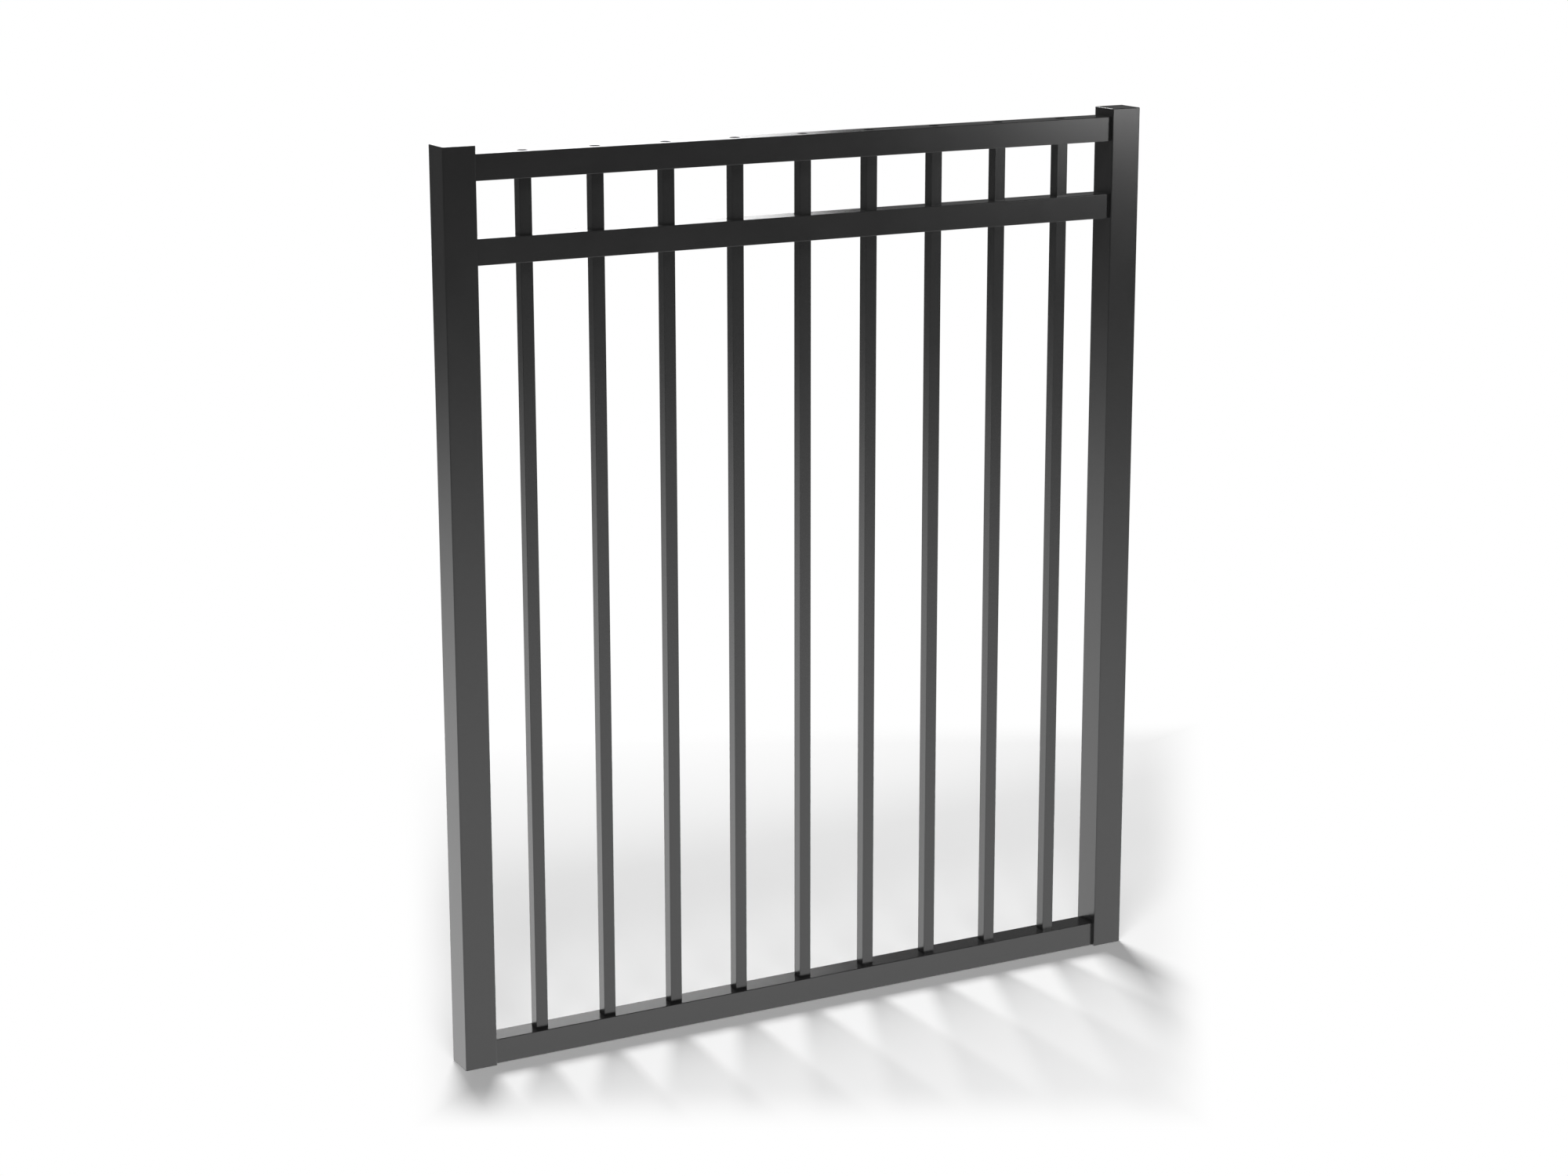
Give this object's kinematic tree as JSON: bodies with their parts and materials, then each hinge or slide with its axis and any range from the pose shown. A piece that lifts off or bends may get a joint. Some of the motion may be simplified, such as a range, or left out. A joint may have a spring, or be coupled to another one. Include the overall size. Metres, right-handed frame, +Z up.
{
  "type": "pool gate leaf",
  "caption": "Flat-topped pool gate leaf: square uprights, channel rails and a row of square pickets that pass through the lower rails, in black powder-coated aluminium.",
  "frame": {"origin": "on the hinge side's outer face, at the foot of the left upright, midway through its depth", "axes": "+X along the gate from the hinge side to the latch side, -Y is the front, +Z up"},
  "size_m": [1.1811, 0.0508, 1.3843],
  "materials": {
    "black_powder_coat": "gloss",
    "black_nylon": "matte"
  },
  "bodies": {
    "root": {"left_upright": "black_powder_coat", "right_upright": "black_powder_coat", "left_top_cap": "black_powder_coat", "right_top_cap": "black_powder_coat", "top_rail": "black_powder_coat", "middle_rail": "black_powder_coat", "bottom_rail": "black_powder_coat", "picket_1": "black_powder_coat", "picket_2": "black_powder_coat", "picket_3": "black_powder_coat", "picket_4": "black_powder_coat", "picket_5": "black_powder_coat", "picket_6": "black_powder_coat", "picket_7": "black_powder_coat", "picket_8": "black_powder_coat", "picket_9": "black_powder_coat", "left_foot_plug": "black_nylon", "right_foot_plug": "black_nylon"}
  },
  "joints": []
}
